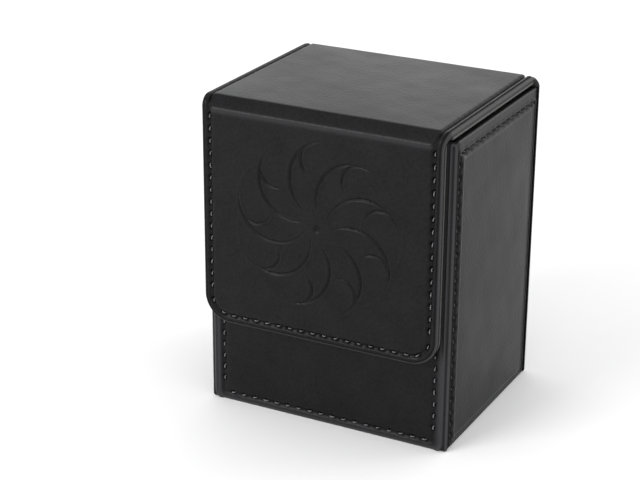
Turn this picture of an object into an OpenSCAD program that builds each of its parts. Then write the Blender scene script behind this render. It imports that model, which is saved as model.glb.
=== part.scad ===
// Leatherette deck box for trading cards: a padded case with a hinged top, whose
// front flap folds down over the case and closes on hidden magnets.
// Frame: the origin is the centre of the base, +Z is up, the flap is on the -Y side
// and X is the width. All sizes are in millimetres.

/* [Overall] */
// Width of the closed box, side to side
case_w = 83.4; // [70:0.1:110]
// Depth of the closed box, face of the flap to face of the back
case_d = 70.6; // [50:0.1:110]
// Height of the closed box, base to top of the lid
case_h = 104; // [80:1:130]

/* [Sheet materials] */
// Thickness of the leatherette
skin_t = 0.8; // [0.5:0.1:1.2]
// Thickness of the padding, which lifts the leatherette above its sewn border
pad_t = 0.5; // [0.3:0.1:1]
// Thickness of the greyboard in the outer walls and the base
board_t = 2; // [1.2:0.1:3]
// Thickness of the greyboard in the card tray
tray_t = 2; // [1:0.1:3]
// Thickness of the microfibre that lines the tray
lining_t = 0.7; // [0.4:0.1:1.2]

/* [Lid] */
// Thickness of the lid's board
lid_board_t = 1.4; // [0.8:0.1:2.5]
// Thickness of the microfibre under the lid
lid_lining_t = 1; // [0.5:0.1:1.5]
// Gap between the closed lid's lining and the rim of the case
rim_gap = 0.3; // [0.2:0.1:1]
// Outer radius of the leatherette where it folds over the top edges
fold_r = 4; // [2.5:0.1:6]
// Width of the sewn border along the sides of the cover strip, on lid and back
cover_border = 2.9; // [1.5:0.1:5]

/* [Flap] */
// Width of the flap and of the cover strip that it is part of
flap_w = 80.8; // [60:0.1:105]
// Sideways offset of the cover strip from the middle of the case
cover_shift = -1.2; // [-1.2:0.1:1.2]
// Height of the flap's lower edge above the base
flap_low = 29.4; // [15:0.1:50]
// Radius of the flap's lower corners
flap_corner_r = 9; // [4:0.5:20]
// Thickness of the flap's board
flap_board_t = 1.1; // [0.8:0.1:2]
// Thickness of the microfibre behind the flap
flap_lining_t = 0.6; // [0.4:0.1:1.2]
// Gap between the closed flap and the stitches on the front of the case
flap_gap = 1; // [0.2:0.1:2]
// Width of the flap's sewn border
flap_border = 3.4; // [2:0.1:6]

/* [Walls] */
// Width of the sewn border down the front and back edges of a side wall
side_border = 3.4; // [1.5:0.1:5]
// Height of the sewn border along the top of a side wall
side_top_border = 4.8; // [2:0.1:8]
// Height of the plain strip below the padding of the side and back walls
foot_border = 1.6; // [1:0.1:6]
// Radius of the walls' upper corners
rim_corner_r = 1; // [0.2:0.1:3]
// Radius of the walls' lower corners
foot_corner_r = 0.5; // [0.2:0.1:2]

/* [Stitching] */
// Distance from one stitch to the next
stitch_pitch = 4; // [2.5:0.1:6]
// Length of thread that shows in one stitch
stitch_len = 2.6; // [1.5:0.1:4]
// Width of the thread
thread_w = 0.5; // [0.3:0.1:0.8]
// Height of the thread above the leatherette
thread_h = 0.3; // [0.2:0.1:0.6]
// Gap between the thread and the padding beside it
seam_gap = 0.45; // [0.2:0.05:1]
// Distance from the edge to the stitches on the front wall
front_seam_in = 4.7; // [1.5:0.1:7]

/* [Magnets] */
// Diameter of a magnet
magnet_d = 10; // [5:0.5:16]
// Thickness of a magnet
magnet_t = 1; // [0.6:0.1:1.5]
// Distance between the two magnets of a pair
magnet_span = 38; // [15:1:60]
// Distance from the lower edge of the flap's board up to a magnet
magnet_rise = 1.8; // [1:0.1:10]
// Clearance round a magnet in its board
magnet_gap = 0.1; // [0.05:0.05:0.5]

/* [Emblem] */
// Distance from the pressed ornament to the edge of the flap's padding
emblem_margin = 5.2; // [2:0.1:12]
// Height of the ornament's centre above the middle of the padding
emblem_rise = 1.2; // [-2:0.1:2]
// Number of long curved grooves in the ornament
emblem_arms = 9; // [5:1:12]
// Greatest width of a groove
groove_w = 1.3; // [0.6:0.1:2]
// Depth that the ornament is pressed in
groove_depth = 0.3; // [0.1:0.05:0.4]

/* [Hidden] */
$fn = 64;
eps = 0.01;

leather = "#2c2c2e";
microfibre = "#45454a";
greyboard = "#8f8b84";
foam = "#cfcac0";
nickel = "#c9cbd0";
thread = "#5a5a5e";

// Lid levels, from the top down
lid_border_z = case_h - pad_t;
lid_core_z = lid_border_z - skin_t;
lid_board_z = lid_core_z - lid_board_t;
lid_under_z = lid_board_z - lid_lining_t;
rim_z = lid_under_z - rim_gap;

// Flap planes, from the face inwards
face_y = -case_d / 2;
flap_border_y = face_y + pad_t;
flap_core_y = flap_border_y + skin_t;
flap_lining_y = flap_core_y + max(flap_board_t, magnet_t + magnet_gap);
flap_back_y = flap_lining_y + flap_lining_t;

// Case planes, from the outside inwards
front_y = flap_back_y + flap_gap + thread_h;
front_core_y = front_y + skin_t;
front_tray_y = front_core_y + max(board_t, magnet_t + magnet_gap);
front_lining_y = front_tray_y + tray_t;
well_front_y = front_lining_y + lining_t;

back_border_y = case_d / 2 - pad_t;
back_core_y = back_border_y - skin_t;
back_tray_y = back_core_y - board_t;
back_lining_y = back_tray_y - tray_t;
well_back_y = back_lining_y - lining_t;

side_border_x = case_w / 2 - pad_t;
side_core_x = side_border_x - skin_t;
side_tray_x = side_core_x - board_t;
side_lining_x = side_tray_x - tray_t;
well_x = side_lining_x - lining_t;

base_core_z = skin_t;
tray_floor_z = base_core_z + board_t;
well_floor_z = tray_floor_z + lining_t;

// Cover strip: back, lid and flap are sewn in one width
cover_left = cover_shift - flap_w / 2;
cover_right = cover_shift + flap_w / 2;
fold_y = case_d / 2 - fold_r;
fold_z = case_h - fold_r;

// Thread lies in the border, this far in from the edge of the padding
seam_in = seam_gap + thread_w / 2;

flap_board_z = flap_low + flap_border + skin_t;
magnet_z = flap_board_z + magnet_rise + magnet_d / 2;
magnet_x = [cover_shift - magnet_span / 2, cover_shift + magnet_span / 2];

// The ornament's long grooves run from the hub to its rim, and the short ones lie
// between their outer halves. Shares of the ornament's radius, and of one arm's angle:
hub_share = 0.1;
short_share = 0.2;
short_place = 0.76;
short_lead = 1.3;
flap_field_h = fold_z - flap_low - flap_border;
emblem_z = fold_z - flap_field_h / 2 + emblem_rise;
emblem_r = min(flap_w / 2 - flap_border, flap_field_h / 2) - emblem_margin;
arm_turn = 360 / emblem_arms;
hub_r = hub_share * emblem_r;
long_r = (emblem_r - hub_r) / 2;
short_r = short_share * emblem_r;
short_at = short_place * emblem_r;
short_turn = short_lead * arm_turn;

// ---------- helpers ----------

// A box given by its lowest and highest corners
module block(low, high) {
    translate(low) cube(high - low);
}

// A plate of thickness t whose outline is drawn in X and Z, from y to y + t
module upright(y, t) {
    translate([0, y + t, 0]) rotate([90, 0, 0]) linear_extrude(t) children();
}

// A plate of thickness t whose outline is drawn in Y and Z, from x to x + t
module sideways(x, t) {
    translate([x, 0, 0]) rotate([90, 0, 90]) linear_extrude(t) children();
}

// A rectangle whose upper corners have radius r_high and lower ones r_low
module outline(low, high, r_low, r_high) {
    difference() {
        translate(low) square(high - low);
        for (side = [0, 1], end = [0, 1]) {
            r = end == 0 ? r_low : r_high;
            x = side == 0 ? low[0] + r : high[0] - r;
            y = end == 0 ? low[1] + r : high[1] - r;
            if (r > 0)
                difference() {
                    translate([x - (side == 0 ? 2 * r : 0), y - (end == 0 ? 2 * r : 0)])
                        square(2 * r);
                    translate([x, y]) circle(r);
                    translate([x - (side == 0 ? 0 : r), y - r]) square([r, 2 * r]);
                    translate([x - r, y - (end == 0 ? 0 : r)]) square([2 * r, r]);
                }
        }
    }
}

// Places of the stitches along a run of the given length, from its middle outwards
function stitch_count(run) = max(1, floor((run - stitch_len) / stitch_pitch) + 1);
function stitch_at(run, i) = (i - (stitch_count(run) - 1) / 2) * stitch_pitch;

// One stitch along X, lying on the plane z = 0
module stitch() {
    translate([-stitch_len / 2, -thread_w / 2, 0]) cube([stitch_len, thread_w, thread_h]);
}

// A row of stitches along X, centred on the origin
module stitch_row(run) {
    for (i = [0 : stitch_count(run) - 1]) translate([stitch_at(run, i), 0, 0]) stitch();
}

// Turns a row laid on z = 0 to lie on a face that looks along -Y, +Y or +X
module on_front(y, x, z, turn) { translate([x, y, z]) rotate([90, turn, 0]) children(); }
module on_back(y, x, z, turn) { translate([x, y, z]) rotate([-90, turn, 0]) children(); }
module on_side(x, y, z, turn) { translate([x, y, z]) rotate([turn, 0, 0]) rotate([0, 90, 0]) children(); }

// ---------- case: outer walls ----------

module front_skin() {
    color(leather) {
        upright(front_y, skin_t)
            outline([-case_w / 2, 0], [case_w / 2, rim_z], foot_corner_r, rim_corner_r);
        // Turned over the top of the board
        block([-side_tray_x, front_core_y, rim_z - skin_t], [side_tray_x, front_tray_y, rim_z]);
    }
}

module back_field(inset) {
    outline([cover_left + cover_border + inset, base_core_z + foot_border + inset],
            [cover_right - cover_border - inset, fold_z - inset], foot_corner_r, 0);
}

module back_skin() {
    color(leather) difference() {
        union() {
            upright(back_core_y, skin_t)
                outline([-case_w / 2, 0], [case_w / 2, fold_z], foot_corner_r, 0);
            upright(back_core_y, skin_t + pad_t) back_field(0);
        }
        upright(back_core_y - eps, pad_t + eps) back_field(skin_t);
    }
}

module back_padding() {
    color(foam) upright(back_core_y, pad_t) back_field(skin_t);
}

module side_field(inset) {
    outline([front_core_y + side_border + inset, base_core_z + foot_border + inset],
            [back_core_y - side_border - inset, rim_z - side_top_border - inset], 0, rim_corner_r);
}

module side_panel_skin() {
    difference() {
        union() {
            sideways(side_tray_x, side_border_x - side_tray_x)
                outline([front_core_y, base_core_z], [back_core_y, rim_z], 0, rim_corner_r);
            sideways(side_core_x, skin_t + pad_t) side_field(0);
        }
        // Pockets for the board and, in front of it, for the padding
        side_panel_board();
        translate([-eps, 0, 0]) side_panel_board();
        side_panel_padding();
        translate([-eps, 0, 0]) side_panel_padding();
    }
}

module side_panel_board() {
    block([side_tray_x, front_core_y + skin_t, base_core_z + skin_t],
          [side_core_x, back_core_y - skin_t, rim_z - skin_t]);
}

module side_panel_padding() {
    sideways(side_core_x, pad_t) side_field(skin_t);
}

module right_skin() { color(leather) side_panel_skin(); }
module left_skin() { color(leather) mirror([1, 0, 0]) side_panel_skin(); }
module right_board() { color(greyboard) side_panel_board(); }
module left_board() { color(greyboard) mirror([1, 0, 0]) side_panel_board(); }
module right_padding() { color(foam) side_panel_padding(); }
module left_padding() { color(foam) mirror([1, 0, 0]) side_panel_padding(); }

module base_skin() {
    color(leather)
        block([-side_border_x, front_core_y, 0], [side_border_x, back_core_y, base_core_z]);
}

module front_board() {
    color(greyboard) difference() {
        block([-side_tray_x, front_core_y, base_core_z],
              [side_tray_x, front_tray_y, rim_z - skin_t]);
        for (x = magnet_x)
            translate([x, front_core_y - eps, magnet_z]) rotate([-90, 0, 0])
                cylinder(d = magnet_d + 2 * magnet_gap, h = magnet_t + magnet_gap + eps);
    }
}

module back_board() {
    color(greyboard)
        block([-side_tray_x, back_tray_y, base_core_z], [side_tray_x, back_core_y, rim_z - lining_t]);
}

module base_board() {
    color(greyboard)
        block([-side_tray_x, front_tray_y, base_core_z], [side_tray_x, back_tray_y, tray_floor_z]);
}

module case_magnets() {
    color(nickel) for (x = magnet_x)
        translate([x, front_core_y, magnet_z]) rotate([-90, 0, 0])
            cylinder(d = magnet_d, h = magnet_t);
}

// ---------- case: card tray ----------

module tray_side_board() {
    block([side_lining_x, front_tray_y, tray_floor_z], [side_tray_x, back_tray_y, rim_z - lining_t]);
}

module tray_right_board() { color(greyboard) tray_side_board(); }
module tray_left_board() { color(greyboard) mirror([1, 0, 0]) tray_side_board(); }

module tray_front_board() {
    color(greyboard)
        block([-side_lining_x, front_tray_y, tray_floor_z],
              [side_lining_x, front_lining_y, rim_z - lining_t]);
}

module tray_back_board() {
    color(greyboard)
        block([-side_lining_x, back_lining_y, tray_floor_z],
              [side_lining_x, back_tray_y, rim_z - lining_t]);
}

// Each lining covers its wall and is turned over the wall's top edge
module side_lining() {
    block([well_x, front_lining_y, well_floor_z], [side_lining_x, back_lining_y, rim_z]);
    block([well_x, front_tray_y, rim_z - lining_t], [side_tray_x, back_tray_y, rim_z]);
}

module right_lining() { color(microfibre) side_lining(); }
module left_lining() { color(microfibre) mirror([1, 0, 0]) side_lining(); }

module front_lining() {
    color(microfibre) {
        block([-well_x, front_lining_y, well_floor_z], [well_x, well_front_y, rim_z]);
        block([-well_x, front_tray_y, rim_z - lining_t], [well_x, well_front_y, rim_z]);
    }
}

module back_lining() {
    color(microfibre) {
        block([-well_x, well_back_y, well_floor_z], [well_x, back_lining_y, rim_z]);
        block([-well_x, well_back_y, rim_z - lining_t], [well_x, back_core_y, rim_z]);
        block([-side_tray_x, back_tray_y, rim_z - lining_t], [side_tray_x, back_core_y, rim_z]);
    }
}

module base_lining() {
    color(microfibre)
        block([-side_lining_x, front_lining_y, tray_floor_z],
              [side_lining_x, back_lining_y, well_floor_z]);
}

// ---------- case: stitching ----------

module front_stitches() {
    seam_x = case_w / 2 - front_seam_in;
    low_z = tray_floor_z;
    run = rim_z - low_z - stitch_pitch;
    color(thread) {
        for (side = [-1, 1])
            on_front(front_y, side * seam_x, low_z + stitch_pitch / 2 + run / 2, 90) stitch_row(run);
        on_front(front_y, 0, low_z, 0) stitch_row(2 * seam_x - stitch_pitch / 2);
    }
}

module back_stitches() {
    run = fold_z - 2 * foot_border;
    in = cover_border - seam_in;
    color(thread) for (x = [cover_left + in, cover_right - in])
        on_back(back_border_y, x, foot_border + run / 2, 90) stitch_row(run);
}

module side_panel_stitches() {
    top_z = rim_z - side_top_border + seam_in;
    low_z = base_core_z + foot_border;
    ends = [front_core_y + side_border - seam_in, back_core_y - side_border + seam_in];
    run = top_z - low_z - stitch_pitch / 2;
    for (y = ends) on_side(side_border_x, y, low_z + run / 2, 0) stitch_row(run);
    on_side(side_border_x, (ends[0] + ends[1]) / 2, top_z, 90)
        stitch_row(ends[1] - ends[0] - stitch_pitch / 2);
}

module right_stitches() { color(thread) side_panel_stitches(); }
module left_stitches() { color(thread) mirror([1, 0, 0]) side_panel_stitches(); }

// ---------- folds ----------

// A quarter tube of leatherette along the top edge on the side towards dir
module hinge_fold(dir) {
    color(leather) intersection() {
        translate([cover_left, dir * fold_y, fold_z]) rotate([0, 90, 0]) difference() {
            cylinder(r = fold_r, h = flap_w);
            translate([0, 0, -eps]) cylinder(r = fold_r - skin_t, h = flap_w + 2 * eps);
        }
        translate([cover_left, dir < 0 ? -case_d / 2 : fold_y, fold_z])
            cube([flap_w, fold_r, fold_r]);
    }
}

module back_hinge_fold() { hinge_fold(1); }
module flap_hinge_fold() { hinge_fold(-1); }

// ---------- lid ----------

module lid_field(inset) {
    translate([cover_left + cover_border + inset, -fold_y + inset])
        square([flap_w - 2 * cover_border - 2 * inset, 2 * fold_y - 2 * inset]);
}

module lid_skin() {
    color(leather) difference() {
        union() {
            block([-case_w / 2, -fold_y, lid_core_z], [case_w / 2, fold_y, lid_border_z]);
            translate([0, 0, lid_core_z]) linear_extrude(skin_t + pad_t) lid_field(0);
        }
        translate([0, 0, lid_core_z - eps]) linear_extrude(pad_t + eps) lid_field(skin_t);
    }
}

module lid_padding() {
    color(foam) translate([0, 0, lid_core_z]) linear_extrude(pad_t) lid_field(skin_t);
}

module lid_board() {
    color(greyboard) translate([0, 0, lid_board_z]) linear_extrude(lid_board_t) lid_field(skin_t);
}

module lid_lining() {
    color(microfibre) difference() {
        union() {
            block([-case_w / 2, -fold_y, lid_core_z - lid_lining_t], [case_w / 2, fold_y, lid_core_z]);
            translate([0, 0, lid_under_z])
                linear_extrude(lid_core_z - lid_under_z) lid_field(0);
        }
        translate([0, 0, lid_board_z]) linear_extrude(lid_board_t + eps) lid_field(skin_t);
    }
}

module lid_stitches() {
    in = cover_border - seam_in;
    color(thread) for (x = [cover_left + in, cover_right - in])
        translate([x, 0, lid_border_z]) rotate([0, 0, 90]) stitch_row(2 * fold_y);
}

// ---------- flap ----------

module flap_outline(inset) {
    outline([cover_left + inset, flap_low + inset], [cover_right - inset, fold_z],
            max(flap_corner_r - inset, foot_corner_r), 0);
}

// The padded field, drawn smaller by the given amount at its top as well
module flap_field(inset) {
    intersection() {
        flap_outline(flap_border + inset);
        translate([cover_left, flap_low]) square([flap_w, fold_z - inset - flap_low]);
    }
}

// A pressed groove like a thin new moon, thickest at its middle, on a half circle
module moon(r, at, turn) {
    rotate(turn) difference() {
        translate([at, 0]) circle(r);
        translate([at, -groove_w]) circle(r);
    }
}

module emblem() {
    translate([cover_shift, emblem_z]) {
        circle(hub_r / 2);
        for (i = [0 : emblem_arms - 1]) {
            moon(long_r, hub_r + long_r, i * arm_turn);
            moon(short_r, short_at, i * arm_turn + short_turn);
        }
    }
}

module flap_skin() {
    color(leather) difference() {
        union() {
            upright(flap_border_y, skin_t) flap_outline(0);
            upright(face_y, skin_t + pad_t) flap_field(0);
        }
        upright(flap_core_y - pad_t, pad_t + eps) flap_field(skin_t);
        upright(face_y - eps, groove_depth + eps) emblem();
    }
}

module flap_padding() {
    color(foam) upright(flap_core_y - pad_t, pad_t) flap_field(skin_t);
}

module flap_board() {
    color(greyboard) difference() {
        upright(flap_core_y, flap_lining_y - flap_core_y) flap_field(skin_t);
        for (x = magnet_x)
            translate([x, flap_core_y - eps, magnet_z]) rotate([-90, 0, 0])
                cylinder(d = magnet_d + 2 * magnet_gap, h = flap_lining_y - flap_core_y + 2 * eps);
    }
}

module flap_lining() {
    color(microfibre) difference() {
        union() {
            upright(flap_core_y, flap_lining_t) flap_outline(0);
            upright(flap_core_y, flap_back_y - flap_core_y) flap_field(0);
        }
        upright(flap_core_y - eps, flap_lining_y - flap_core_y + eps) flap_field(skin_t);
    }
}

module flap_magnets() {
    color(nickel) for (x = magnet_x)
        translate([x, flap_core_y, magnet_z]) rotate([-90, 0, 0])
            cylinder(d = magnet_d, h = magnet_t);
}

module flap_stitches() {
    low_z = flap_low + flap_corner_r;
    run = fold_z - low_z;
    in = flap_border - seam_in;
    bend_r = flap_corner_r - in;
    bends = max(1, round(bend_r * PI / 2 / stitch_pitch));
    color(thread) {
        for (side = [-1, 1]) {
            x = cover_shift + side * (flap_w / 2 - in);
            on_front(flap_border_y, x, low_z + run / 2, 90) stitch_row(run);
            // Round the lower corner, stitch by stitch
            for (i = [0 : bends - 1]) {
                a = (i + 0.5) * 90 / bends;
                out = flap_w / 2 - flap_corner_r + bend_r * cos(a);
                on_front(flap_border_y, cover_shift + side * out, low_z - bend_r * sin(a),
                         side * (a - 90)) stitch();
            }
        }
        on_front(flap_border_y, cover_shift, flap_low + in, 0)
            stitch_row(flap_w - 2 * flap_corner_r);
    }
}

front_skin();
back_skin();
left_skin();
right_skin();
base_skin();
back_padding();
left_padding();
right_padding();
front_board();
back_board();
left_board();
right_board();
base_board();
tray_front_board();
tray_back_board();
tray_left_board();
tray_right_board();
front_lining();
back_lining();
left_lining();
right_lining();
base_lining();
case_magnets();
front_stitches();
back_stitches();
left_stitches();
right_stitches();
back_hinge_fold();
lid_skin();
lid_padding();
lid_board();
lid_lining();
lid_stitches();
flap_hinge_fold();
flap_skin();
flap_padding();
flap_board();
flap_lining();
flap_magnets();
flap_stitches();
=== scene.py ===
"""Looks of a leatherette deck box: padded covers, sewn seams, soft folds and a lined tray.

Every sheet is laid out flat on a grid, its edges are turned down over the board, and the
padding, the seams and the pressed ornament then move its face in or out. The cover strip
(flap, front bend, lid, back bend, back) is one width of leatherette along one path, so its
pieces meet exactly at the folds.
"""

import math

import bmesh
import bpy
import numpy as np
from bpy.props import FloatProperty, FloatVectorProperty, IntProperty, PointerProperty, StringProperty
from bpy.types import Operator, Panel, PropertyGroup
from mathutils import Matrix, Vector


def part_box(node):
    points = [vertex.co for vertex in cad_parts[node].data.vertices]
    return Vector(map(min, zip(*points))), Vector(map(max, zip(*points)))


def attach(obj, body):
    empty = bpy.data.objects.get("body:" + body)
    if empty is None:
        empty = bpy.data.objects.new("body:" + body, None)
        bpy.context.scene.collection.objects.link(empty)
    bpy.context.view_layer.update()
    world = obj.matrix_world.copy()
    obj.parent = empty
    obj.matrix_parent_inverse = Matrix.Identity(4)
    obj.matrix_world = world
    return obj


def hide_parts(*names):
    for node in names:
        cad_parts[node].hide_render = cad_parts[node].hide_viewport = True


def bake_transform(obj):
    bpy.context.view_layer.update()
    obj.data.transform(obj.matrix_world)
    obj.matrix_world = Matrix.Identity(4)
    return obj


bl_info = {
    "name": "Deck box looks",
    "version": (1, 0, 0),
    "blender": (4, 5, 0),
    "location": "3D View > Sidebar > Deck box",
    "description": "Builds the padded covers, seams, folds and linings round a deck box's frame",
    "category": "Object",
}

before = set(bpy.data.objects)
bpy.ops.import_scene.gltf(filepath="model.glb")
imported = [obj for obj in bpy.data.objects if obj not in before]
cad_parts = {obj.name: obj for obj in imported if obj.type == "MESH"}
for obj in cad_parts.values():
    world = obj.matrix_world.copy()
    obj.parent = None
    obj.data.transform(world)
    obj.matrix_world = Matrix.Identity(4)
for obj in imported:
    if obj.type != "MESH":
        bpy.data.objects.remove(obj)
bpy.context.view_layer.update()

MM = 0.001
X, Y, Z = 0, 1, 2


# ---------- sizes read from the frame ----------


def low(node, axis):
    """Lowest coordinate of a CAD node along an axis."""
    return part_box(node)[0][axis]


def high(node, axis):
    """Highest coordinate of a CAD node along an axis."""
    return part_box(node)[1][axis]


FOLD_Z = low("flap_hinge_fold", Z)
FOLD_Y = high("lid_skin", Y)
FLAP_Y = high("flap_stitches", Y)
LID_Z = low("lid_stitches", Z)
BEND_R = LID_Z - FOLD_Z
BEND_LEN = BEND_R * math.pi / 2
PAD = FLAP_Y - low("flap_skin", Y)
RIM_Z = high("front_skin", Z)
HALF_THREAD = 0.25 * MM  # half the width of the frame's thread
EDGE_FLARE = 2 * MM  # length below the bend over which the flap's edge widens to the lid's
FLAP_CORNER = 9 * MM  # radius of the flap's two lower corners
SEAM_CORNER = 6.3 * MM  # radius of the flap's seam at those corners
LID_STEP = 1.3 * MM  # how far the lid's cover stops short of its lining's right edge

# Where the cover strip's seams and edges lie across it, on the flap and on the lid
ON_FLAP = (
    low("flap_skin", X),
    low("flap_stitches", X) + HALF_THREAD,
    high("flap_stitches", X) - HALF_THREAD,
    high("flap_skin", X),
)
ON_BACK = (
    low("lid_skin", X),
    low("lid_stitches", X) + HALF_THREAD,
    high("lid_stitches", X) - HALF_THREAD,
    high("lid_skin", X),
)
# On the lid the cover stops short of the lining's right edge, so both layers show
ON_LID = ON_BACK[:2] + (ON_BACK[2] + 0.5 * MM, ON_BACK[3] - LID_STEP)

# Lengths along the strip at which the flap, the bends, the lid and the back begin
FLAP_END = low("flap_skin", Z)
LID_START = FOLD_Z + BEND_LEN
LID_END = LID_START + 2 * FOLD_Y
BACK_START = LID_END + BEND_LEN
BACK_END = BACK_START + FOLD_Z


# ---------- small maths ----------


def smooth(t):
    """Runs from 0 to 1 with no corner at either end."""
    t = np.clip(t, 0, 1)
    return t * t * (3 - 2 * t)


def bell(distance, width):
    """1 at no distance, falling away over a width."""
    return np.exp(-((distance / width) ** 2))


def outline_distance(x, y, box, corner):
    """Distance to a rounded rectangle's line, negative inside it."""
    (x0, y0), (x1, y1) = box
    px = np.maximum(x0 + corner - x, x - x1 + corner)
    py = np.maximum(y0 + corner - y, y - y1 + corner)
    outside = np.hypot(np.maximum(px, 0), np.maximum(py, 0))
    return outside + np.minimum(np.maximum(px, py), 0) - corner


def near_ends(start, end, inside, outside=MM):
    """The two bands round the ends of an extent, where a grid has to be fine."""
    return (start - outside, start + inside), (end - inside, end + outside)


def ruled(start, end, bands, fine, coarse):
    """Grid lines from start to end: fine inside the bands, and widening to coarse away from them."""
    t = np.linspace(start, end, 4000)
    away = np.full(t.shape, 1e9)
    for a, b in bands:
        away = np.minimum(away, np.maximum(np.maximum(a - t, t - b), 0))
    step = fine + (coarse - fine) * smooth(away / (6 * coarse))
    count = np.concatenate([[0], np.cumsum((t[1] - t[0]) / step[1:])])
    lines = max(2, math.ceil(count[-1]))
    return np.interp(np.linspace(0, count[-1], lines + 1), count, t)


# ---------- beds: the surfaces that sheets lie on ----------


class FlatBed:
    """A flat face: across and along are its two directions, and up looks out of it."""

    def __init__(self, level, across, along, up):
        self.across, self.along, self.up = (np.array(v, float) for v in (across, along, up))
        self.origin = self.up * level
        self.mirrored = np.dot(np.cross(self.across, self.along), self.up) < 0

    def place(self, a, b, h):
        """Points at places a and b on the face, standing h above it."""
        spread = a[..., None] * self.across + b[..., None] * self.along
        return self.origin + spread + h[..., None] * self.up

    def find(self, points):
        """Places a and b of points near the face."""
        return points @ self.across, points @ self.along

    def up_at(self, b):
        """Outward direction at places b."""
        return np.broadcast_to(self.up, b.shape + (3,))


class RimBed(FlatBed):
    """A flat face whose sheet spreads out to a wider wall once it is turned a depth over the rim."""

    def __init__(self, level, across, along, up, depth, wider):
        super().__init__(level, across, along, up)
        self.depth, self.wider = depth, wider

    def place(self, a, b, h):
        """Points at places a and b, wider once they lie deeper than the depth."""
        past = smooth((-h - self.depth) / (0.3 * MM) + 0.3)
        return super().place(a * (1 + (self.wider - 1) * past), b, h)


class StripBed:
    """The cover strip's own path: up the flap, over the lid and down the back."""

    mirrored = False

    def path(self, b):
        """Point and outward direction, in Y and Z, at lengths b along the path."""
        front_turn = np.clip((b - FOLD_Z) / BEND_R, 0, math.pi / 2)
        back_turn = np.clip((b - LID_END) / BEND_R, 0, math.pi / 2)
        turn = front_turn + back_turn
        y = -FOLD_Y - BEND_R * np.cos(front_turn)
        y = np.where(b > LID_START, -FOLD_Y + b - LID_START, y)
        y = np.where(b > LID_END, FOLD_Y + BEND_R * np.sin(back_turn), y)
        z = np.where(b < FOLD_Z, b, FOLD_Z + BEND_R * np.sin(front_turn))
        z = np.where(b > LID_END, FOLD_Z + BEND_R * np.cos(back_turn), z)
        z = np.where(b > BACK_START, FOLD_Z - (b - BACK_START), z)
        return y, z, -np.cos(turn), np.sin(turn)

    def widen(self, a, b):
        """The border widens from the flap's edge to the lid's and the back's, over the bends."""
        inside = np.clip(a, ON_FLAP[0], ON_FLAP[-1])
        on_lid = np.interp(inside, ON_FLAP, ON_LID) - inside
        on_back = np.interp(inside, ON_FLAP, ON_BACK) - inside
        front_share = smooth((b - FOLD_Z + EDGE_FLARE) / (LID_START - FOLD_Z + EDGE_FLARE))
        back_share = smooth((b - LID_END) / BEND_LEN)
        return a + on_lid * front_share + (on_back - on_lid) * back_share

    def place(self, a, b, h):
        """Points at places a across and b along the strip, standing h above it."""
        y, z, up_y, up_z = self.path(b)
        return np.stack([self.widen(a, b), y + h * up_y, z + h * up_z], axis=-1)

    def find(self, points):
        """Places a and b of points near the strip's flat stretches."""
        x, y, z = points.T
        on_flap = (y < -FOLD_Y) & (z < FOLD_Z)
        on_back = (y > FOLD_Y) & (z < FOLD_Z)
        b = LID_START + y + FOLD_Y
        b = np.where(on_flap, z, np.where(on_back, BACK_START + FOLD_Z - z, b))
        return np.where(on_flap, x, np.interp(x, ON_BACK, ON_FLAP)), b

    def up_at(self, b):
        """Outward direction at lengths b along the strip."""
        _, _, up_y, up_z = self.path(b)
        return np.stack([np.zeros_like(b), up_y, up_z], axis=-1)


STRIP = StripBed()


# ---------- sheets ----------


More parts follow.
